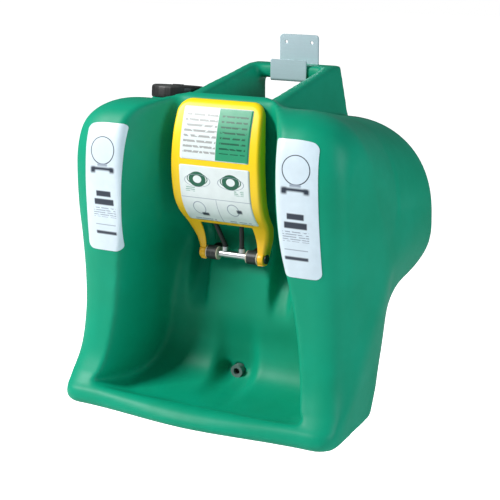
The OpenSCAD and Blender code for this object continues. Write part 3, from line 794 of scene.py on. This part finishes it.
PIVOT = np.array([0, -305, 320.0])
LEG_X = 69.5
boss_profile = [[8.15, -7], [12.6, -7], [13.6, -6.4], [14, -5.4], [14, 5.4], [13.6, 6.4],
                [12.6, 7], [8.15, 7], [8.15, -7]]
bosses = []
for side in (-1, 1):
    turned, turned_faces = lathe(boss_profile, 64)
    bosses.append((across_x(turned) + PIVOT + [side * LEG_X, 0, 0], turned_faces))
boss_points, boss_faces = together(bosses)
boss = close_up(new_piece("arm_bosses", boss_points, boss_faces))
boss.data.materials.append(yellow)
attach(boss, "arm")

# %% [markdown]
# ## Printed labels
# The labels are thin film stuck on a curved face, so each is a patch of the surface it lies on,
# lifted a little. Its print is worked out from the patch's own UV map, in units of ten
# centimetres: rings, bars and rows of short strokes that stand for writing.


# %% Groups for printed marks
g, given, out = new_group("printed bar", [
    ("Vector", "Vector", None), ("X", "Float", 0.0), ("Y", "Float", 0.0),
    ("Half width", "Float", 0.1), ("Half height", "Float", 0.1), ("Soft", "Float", 0.004)],
    ["Mask"])
axis = g.split(given["Vector"])
masks = []
for place_in, half_in, coordinate in (("X", "Half width", "X"), ("Y", "Half height", "Y")):
    far_off = g.math("ABSOLUTE", g.math("SUBTRACT", axis[coordinate], given[place_in]))
    over = g.math("DIVIDE", g.math("SUBTRACT", given[half_in], far_off), given["Soft"])
    masks.append(g.math("ADD", over, 0.5, clamp=True))
g.feed(out["Mask"], g.math("MULTIPLY", *masks))
printed_bar = g.tree

g, given, out = new_group("printed ring", [
    ("Vector", "Vector", None), ("X", "Float", 0.0), ("Y", "Float", 0.0),
    ("Radius", "Float", 0.1), ("Line", "Float", 0.01), ("Flatten", "Float", 1.0)], ["Mask"])
axis = g.split(given["Vector"])
off_x = g.math("SUBTRACT", axis["X"], given["X"])
off_y = g.math("MULTIPLY", g.math("SUBTRACT", axis["Y"], given["Y"]), given["Flatten"])
away = g.math("SQRT", g.math("ADD", g.math("MULTIPLY", off_x, off_x),
                             g.math("MULTIPLY", off_y, off_y)))
over = g.math("SUBTRACT", g.math("MULTIPLY", given["Line"], 0.5),
              g.math("ABSOLUTE", g.math("SUBTRACT", away, given["Radius"])))
g.feed(out["Mask"], g.math("MULTIPLY_ADD", over, 250.0, 0.5, clamp=True))
printed_ring = g.tree

g, given, out = new_group("printed strokes", [
    ("Vector", "Vector", None), ("Rows", "Float", 30.0), ("Fill", "Float", 0.45)], ["Mask"])
axis = g.split(given["Vector"])
in_row = g.math("FRACT", g.math("MULTIPLY", axis["Y"], given["Rows"]))
row = g.math("LESS_THAN", g.math("ABSOLUTE", g.math("SUBTRACT", in_row, 0.5)),
             g.math("MULTIPLY", given["Fill"], 0.5))
broken = g.noise(g.stretched(given["Vector"], (13, 11, 1)), 1.0, 0.0)
g.feed(out["Mask"], g.math("MULTIPLY", row, g.ramp(broken, 0.38, 0.40)))
printed_strokes = g.tree


# %% A label material from a list of marks
def label_film(name, paper, marks):
    """Film of one colour; each mark is (group, values, colour) and is printed over the last."""
    made, tools, shader, place = start_material(name)
    uv = tools.node("ShaderNodeUVMap", uv_map="print").outputs["UV"]
    speck = tools.noise(place, 60.0, 3.0)
    colour = tools.mix(tools.ramp(speck, 0.3, 0.8), (*paper, 1), (*(0.93 * v for v in paper), 1))
    for group, values, ink in marks:
        clip = values.pop("clip", None)
        mask = use_group(tools, group, Vector=uv, **values)["Mask"]
        if clip:
            keep = use_group(tools, printed_bar, Vector=uv, **clip)["Mask"]
            mask = tools.math("MULTIPLY", mask, keep)
        colour = tools.mix(mask, colour, (*ink, 1))
    grain_out = use_group(tools, moulded_grain, Vector=place, Grain_size=1600.0)
    fall = use_group(tools, dust, Vector=place, Amount=0.12)["Mask"]
    tools.feed(shader.inputs["Base Color"], tools.mix(fall, colour, (0.55, 0.55, 0.5, 1)))
    tools.feed(shader.inputs["Roughness"], tools.ramp(speck, 0.2, 0.8, 0.28, 0.42))
    tools.feed(shader.inputs["Normal"], bump(tools, grain_out["Height"], 0.2, 0.0002))
    return made


def bar_mark(x, y, w, h, ink, soft=0.006):
    """A printed bar centred at x, y, w wide and h high, all in label units."""
    values = {"X": x, "Y": y, "Half_width": w / 2, "Half_height": h / 2, "Soft": soft}
    return (printed_bar, values, ink)


def ring_mark(x, y, radius, line, ink, flatten=1.0):
    values = {"X": x, "Y": y, "Radius": radius, "Line": line, "Flatten": flatten}
    return (printed_ring, values, ink)


def stroke_mark(x, y, w, h, rows, fill, ink):
    clip = bar_mark(x, y, w, h, ink, 0.004)[1]
    return (printed_strokes, {"Rows": rows, "Fill": fill, "clip": clip}, ink)


INK, FAINT, PAPER = (0.02, 0.03, 0.05), (0.30, 0.35, 0.42), (0.66, 0.76, 0.83)
DARK_GREEN, PRINT_GREEN = (0.0, 0.10, 0.05), (0.02, 0.30, 0.15)

# %% [markdown]
# ## The two labels on the cheeks
# Each is a tall patch with rounded corners. Its top leans over the brow of the cheek. The grid
# follows the tank's own formula, and a Shrinkwrap modifier then lays it on the finished skin.


# %% A patch with rounded corners on a cheek
def front_point(x, u):
    """The tank's front surface, by the distance x from the middle and u down the outline."""
    t = u * LAST
    half, radius = eased(t, front_half), eased(t, front_round)
    q = np.clip((np.abs(x) - half + radius) / radius, 0, 1)
    w = (1 - (1 - q**SQUARE) ** (1 / SQUARE))[..., None]
    yz = front_yz(x, u) * (1 - w) + along(side_line, u) * w
    return np.stack([x, -yz[..., 0], yz[..., 1]], -1)


LABEL_U = (3.5 / LAST, 7.15 / LAST)
ROWS_DOWN, COLUMNS = 61, 25
b = np.sin(np.linspace(-1, 1, ROWS_DOWN) * np.pi / 2) * 0.5 + 0.5
a = np.sin(np.linspace(-1, 1, COLUMNS) * np.pi / 2) * 0.5 + 0.5
a_grid, b_grid = np.meshgrid(a, b)
LENGTH = 272.0
LABEL_MIDDLE, LABEL_CORNER = 221, 15.0
from_end = np.minimum(b_grid, 1 - b_grid) * LENGTH
pull = drawn_in(from_end, LABEL_CORNER)
cheek_labels = []
for side, name in ((-1, "side_label_left"), (1, "side_label_right")):
    inner = 170 + 19 * b_grid + pull
    outer = 263 + 9 * b_grid - pull
    x = inner + (outer - inner) * a_grid
    u = LABEL_U[0] + (LABEL_U[1] - LABEL_U[0]) * b_grid
    patch = front_point(side * x, u)
    print_uv = np.stack([side * (x - LABEL_MIDDLE) / 100, (0.5 - b_grid) * LENGTH / 100], -1)
    faces = grid_faces(ROWS_DOWN, COLUMNS)
    faces = faces if side < 0 else faces[:, ::-1]
    label = new_piece("cheek_label_" + ("left" if side < 0 else "right"), patch, [faces], print_uv)
    wrap = label.modifiers.new("lie on the tank", "SHRINKWRAP")
    wrap.target = tank
    wrap.wrap_method = "NEAREST_SURFACEPOINT"
    wrap.wrap_mode = "ABOVE_SURFACE"
    wrap.offset = 0.9 * MM
    thicken(label, "film", 0.5)
    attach(label, "tank")
    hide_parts(name)
    cheek_labels.append(label)

# %% Their print
cheek_print = label_film("cheek label film", PAPER, [
    ring_mark(0.0, 0.72, 0.285, 0.020, INK),
    bar_mark(0.0, 0.345, 0.52, 0.06, INK, 0.04),
    bar_mark(-0.24, 0.32, 0.12, 0.12, INK, 0.05),
    bar_mark(0.23, 0.325, 0.11, 0.10, INK, 0.05),
    bar_mark(0.0, 0.42, 0.24, 0.05, FAINT, 0.03),
    bar_mark(0.0, -0.12, 0.36, 0.10, INK, 0.02),
    bar_mark(0.0, -0.27, 0.48, 0.11, INK, 0.02),
    stroke_mark(0.0, -0.47, 0.56, 0.20, 22.0, 0.42, FAINT),
    bar_mark(0.0, -0.74, 0.50, 0.02, FAINT),
    bar_mark(0.0, -0.93, 0.50, 0.075, INK, 0.03)])
for label in cheek_labels:
    label.data.materials.append(cheek_print)
print("cheek labels", [o.name for o in cheek_labels])


# %% [markdown]
# ## The labels on the arm
# Both follow the arm's bowed face. The upper one is half written lines and half a green block.
# The lower one shows two eyes above a pair of small pictures.

# %% Patches on the arm's face
def arm_patch(name, node):
    """A patch of the arm's face as wide and high as its CAD node, lifted off a little."""
    lift, corner = 0.45, 3.0
    low, high = (from_foot(c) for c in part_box(node))
    wide = np.linspace(low[0], high[0], 33)
    tall = np.linspace(high[2], low[2], 49)
    x, z = np.meshgrid(wide, tall)
    ends = np.minimum(np.abs(z - high[2]), np.abs(z - low[2]))
    x = x * (1 - drawn_in(ends, corner) / high[0])
    patch = np.stack([x, -arm_depth(z) - lift, z], -1)
    middle_z = (low[2] + high[2]) / 2
    uv = np.stack([x / 100, (z - middle_z) / 100], -1)
    made = new_piece(name, patch, [grid_faces(*x.shape)[:, ::-1]], uv)
    thicken(made, "film", 0.3)
    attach(made, "arm")
    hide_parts(node)
    return made, (high[2] - low[2]) / 100


upper, tall_upper = arm_patch("arm_label_writing", "arm_label_upper")
lower_label, tall_lower = arm_patch("arm_label_eyes", "arm_label_lower")
LIGHT = (0.74, 0.80, 0.80)
upper.data.materials.append(label_film("arm label film top", LIGHT, [
    stroke_mark(-0.36, 0.02, 0.76, 0.82 * tall_upper, 9.5, 0.42, (0.36, 0.37, 0.36)),
    bar_mark(0.41, 0.0, 0.76, 0.97 * tall_upper, PRINT_GREEN),
    stroke_mark(0.41, 0.02, 0.60, 0.74 * tall_upper, 9.5, 0.34, DARK_GREEN)]))
EYE = [(-0.40, 1), (0.38, -1)]
marks = []
for x, side in EYE:
    marks += [
        ring_mark(x, 0.33, 0.15, 0.10, DARK_GREEN, 1.25),
        ring_mark(x, 0.335, 0.235, 0.022, DARK_GREEN, 1.9),
        ring_mark(x, 0.30, 0.30, 0.016, FAINT, 2.3),
        bar_mark(x, 0.33, 0.06, 0.06, LIGHT, 0.03),
        stroke_mark(x - 0.18 * side, 0.12, 0.22, 0.12, 24.0, 0.5, (0.25, 0.42, 0.36))]
marks += [
    bar_mark(0.0, -0.07, 1.62, 0.012, FAINT, 0.004),
    bar_mark(0.0, -0.38, 0.012, 0.60, FAINT, 0.004),
    ring_mark(-0.44, -0.30, 0.14, 0.02, FAINT), bar_mark(-0.34, -0.44, 0.16, 0.07, INK, 0.03),
    ring_mark(0.36, -0.28, 0.13, 0.02, FAINT), bar_mark(0.50, -0.30, 0.12, 0.08, INK, 0.03),
    stroke_mark(-0.40, -0.60, 0.50, 0.10, 22.0, 0.5, FAINT),
    stroke_mark(0.42, -0.60, 0.50, 0.10, 22.0, 0.5, FAINT)]
lower_label.data.materials.append(label_film("arm label film eyes", LIGHT, marks))
print("arm labels", round(tall_upper * 100), "and", round(tall_lower * 100), "mm tall")

# %% [markdown]
# ## The filler cap
# A screw cap of black plastic with low grip ribs. It is a turned profile: radius and height once
# round the section, with the radius swelling a little at each rib.

# %% Turn the cap
RIBS = 24
cap_section = [[0, 35], [30, 35], [52.7, 35], [52.7, 12], [55.0, 12], [55.8, 12.6], [56.2, 14],
               [56.6, 20], [56.6, 27], [56.6, 32.5], [56.3, 34.6], [55.4, 36.6], [53.4, 38.2],
               [50.5, 39], [47, 39], [45.5, 38.7], [30, 38.6], [13, 38.6], [0, 38.6]]
on_skirt = np.array([0, 0, 0, 0, 0.2, 0.6, 1, 1, 1, 1, 0.7, 0.2] + [0] * 7)


def rib_swell(angle, count):
    """Rounded ribs: the raised part of a cosine, sharpened, only on the skirt."""
    return 0.35 * np.clip(np.cos(RIBS * angle), 0, 1) ** 0.7 * on_skirt[None, :count]


cap_points, cap_faces = lathe(cap_section, RIBS * 12, rib_swell)
cap = close_up(new_piece("screw_cap", at_neck(cap_points), cap_faces))
cap.data.materials.append(black)
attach(cap, "cap")
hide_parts("fill_cap")
print("cap faces", len(cap.data.polygons))

# %% [markdown]
# ## The wall bracket
# One strip of steel, folded twice: down the wall, out under the bar, and up again as a lip. So
# it is a path in side view, carried across the width. The two screw holes are cut after that.


# %% Fold the strip
PLATE_HALF, HOOK_HALF = 48.0, 44.0
PLATE_TOP, WALL_RUN, HOOK_LOW, HOOK_OUT, LIP_TOP = 757.0, 90.0, 658.5, -56.0, 706.0
PLATE_CORNER, LIP_CORNER, SHOULDER = 8.0, 3.0, 676.0


def folded_path(radius):
    """Down the wall, round two bends of the given radius, and up the lip, as (y, z) points."""
    bend = np.linspace(0, np.pi / 2, 9)
    ahead, short = radius * (1 - np.cos(bend)), radius * (1 - np.sin(bend))
    first = np.stack([-ahead, HOOK_LOW + short], -1)
    second = np.stack([HOOK_OUT + short, HOOK_LOW + ahead], -1)
    down = (1 - np.cos(np.linspace(0, np.pi / 2, 40))) * WALL_RUN
    wall_run = np.stack([np.zeros(40), PLATE_TOP - down], -1)
    flat = np.linspace(-radius, HOOK_OUT + radius, 8)[1:-1]
    floor_run = np.stack([flat, np.full(6, HOOK_LOW)], -1)
    up = np.sin(np.linspace(0, np.pi / 2, 30)[1:]) * (LIP_TOP - HOOK_LOW - radius)
    lip_run = np.stack([np.full(29, HOOK_OUT), HOOK_LOW + radius + up], -1)
    return np.concatenate([wall_run, first, floor_run, second, lip_run])


path = folded_path(5.0)
walked_path = np.concatenate([[0], np.cumsum(np.hypot(*np.diff(path, axis=0).T))])
to_top, to_lip = walked_path, walked_path[-1] - walked_path
on_wall = (path[:, 1] > SHOULDER) & (path[:, 0] >= -20)
half_width = np.where(on_wall, PLATE_HALF, HOOK_HALF)
half_width = half_width - drawn_in(to_top, PLATE_CORNER) - drawn_in(to_lip, LIP_CORNER)
share = np.linspace(-1, 1, 33)
across = share[None] * half_width[:, None]
strip = np.stack(np.broadcast_arrays(across, path[:, :1], path[:, 1:]), -1)
bracket = new_piece("bracket_strip", strip, [grid_faces(*strip.shape[:2])])
thicken(bracket, "gauge", 3, even=True)
print("bracket path", round(walked_path[-1]), "mm")

# %% Drill it and soften its edges
pins = []
for side in (-1, 1):
    pin, pin_faces = lathe([[0, -8], [3.5, -8], [3.5, 8], [0, 8]], 40)
    upright = np.stack([pin[..., 0], pin[..., 2], -pin[..., 1]], -1)
    pins.append((upright + [side * 31.5, -1.5, 740.0], pin_faces))
drill = close_up(new_piece("drill", *together(pins)))
cut = bracket.modifiers.new("screw holes", "BOOLEAN")
cut.operation = "DIFFERENCE"
cut.object = drill
bracket = baked(bracket, "folded_bracket")
bpy.data.objects.remove(drill)
soften(bracket, "broken edges", 0.45, 40)
bracket.data.materials.append(steel)
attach(bracket, "bracket")
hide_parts("wall_bracket")
low, high = (np.array(c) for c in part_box("wall_bracket"))
print("bracket box in CAD", np.round(low, 3), np.round(high, 3))

# %% [markdown]
# ## The small fittings
# The hinge tube, bushes, elbows, risers, spray heads and drain have the right shape in CAD, so
# their meshes stay, and only their finish is new.

# %% Finishes for the carried-over nodes
finish_of = {
    "cap_gasket": seal, "cap_vent": black, "arm_screws": tube_steel,
    "hinge_manifold": tube_steel, "manifold_plugs": fitting, "elbow_seals": seal,
    "head_bracket": tube_steel, "head_screws": tube_steel, "drain_insert": drain_grey,
    "drain_plug": plug_black, "drain_plug_ring": seal}
for pair, finish in (("swivel_bush", nylon), ("outlet_elbow", fitting), ("outlet_insert", brass),
                     ("riser_tube", rubber), ("spray_head", head_green),
                     ("spray_screen", screen_white)):
    finish_of[pair + "_left"] = finish_of[pair + "_right"] = finish
for name, finish in finish_of.items():
    nodes[name].data.materials.clear()
    nodes[name].data.materials.append(finish)
print(len(finish_of), "carried-over nodes have a finish")

# %% [markdown]
# ## The floor
# A plain pale floor, well below the tank. It glows, but only towards the camera, so it looks
# evenly pale and its glow adds no light to the tank.

# %% Floor
floor_mesh = bpy.data.meshes.new("floor")
reach, floor_z = 14.0, FOOT - 0.32
corners = [(x * reach, y * reach, floor_z) for x, y in ((-1, -1), (1, -1), (1, 1), (-1, 1))]
floor_mesh.from_pydata(corners, [], [(0, 1, 2, 3)])
floor = placed("floor", floor_mesh)
pale, tools, shader, place = start_material("pale floor")
cloud = tools.noise(place, 0.6, 2.0)
paper_white, warm_white = (0.94, 0.94, 0.94, 1), (0.97, 0.97, 0.97, 1)
tools.feed(shader.inputs["Base Color"], tools.mix(cloud, paper_white, warm_white))
shader.inputs["Roughness"].default_value = 0.9
shader.inputs["Specular IOR Level"].default_value = 0.1
to_eye = tools.node("ShaderNodeLightPath").outputs["Is Camera Ray"]
tools.feed(shader.inputs["Emission Color"], tools.mix(to_eye, (0, 0, 0, 1), (0.95, 0.95, 0.95, 1)))
shader.inputs["Emission Strength"].default_value = 1.0
floor_mesh.materials.append(pale)
